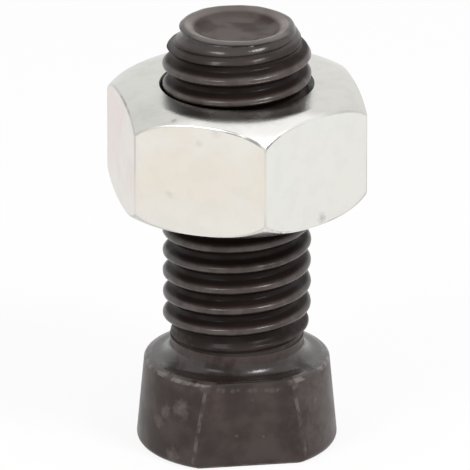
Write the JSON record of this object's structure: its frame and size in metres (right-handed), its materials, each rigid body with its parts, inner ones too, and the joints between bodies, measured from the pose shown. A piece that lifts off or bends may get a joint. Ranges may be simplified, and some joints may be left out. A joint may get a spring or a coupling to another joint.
{
  "type": "plow bolt with hex nut",
  "caption": "Black plow bolt standing on its tapered head with flats, its right-hand threaded shank carrying a zinc-plated hexagon nut that clamps a wearing part to its carrier.",
  "frame": {"origin": "middle of the head's flat end face, which it stands on", "axes": "+Z along the shank from the head to the point, X along the head's two flats, Y across them"},
  "size_m": [0.0192, 0.0216, 0.035],
  "materials": {
    "black_steel": "oiled black phosphate on forged and rolled steel, rubbed bright on the edges",
    "zinc_steel": "bright zinc plate with a faint iridescent passivation"
  },
  "bodies": {
    "bolt": {"bolt": "black_steel"},
    "nut": {"nut": "zinc_steel"}
  },
  "joints": [
    {"name": "nut_travel", "type": "slide", "parent": "bolt", "child": "nut", "axis": [0, 0, 1], "range_m": [-0.00875, 0.02275]}
  ]
}
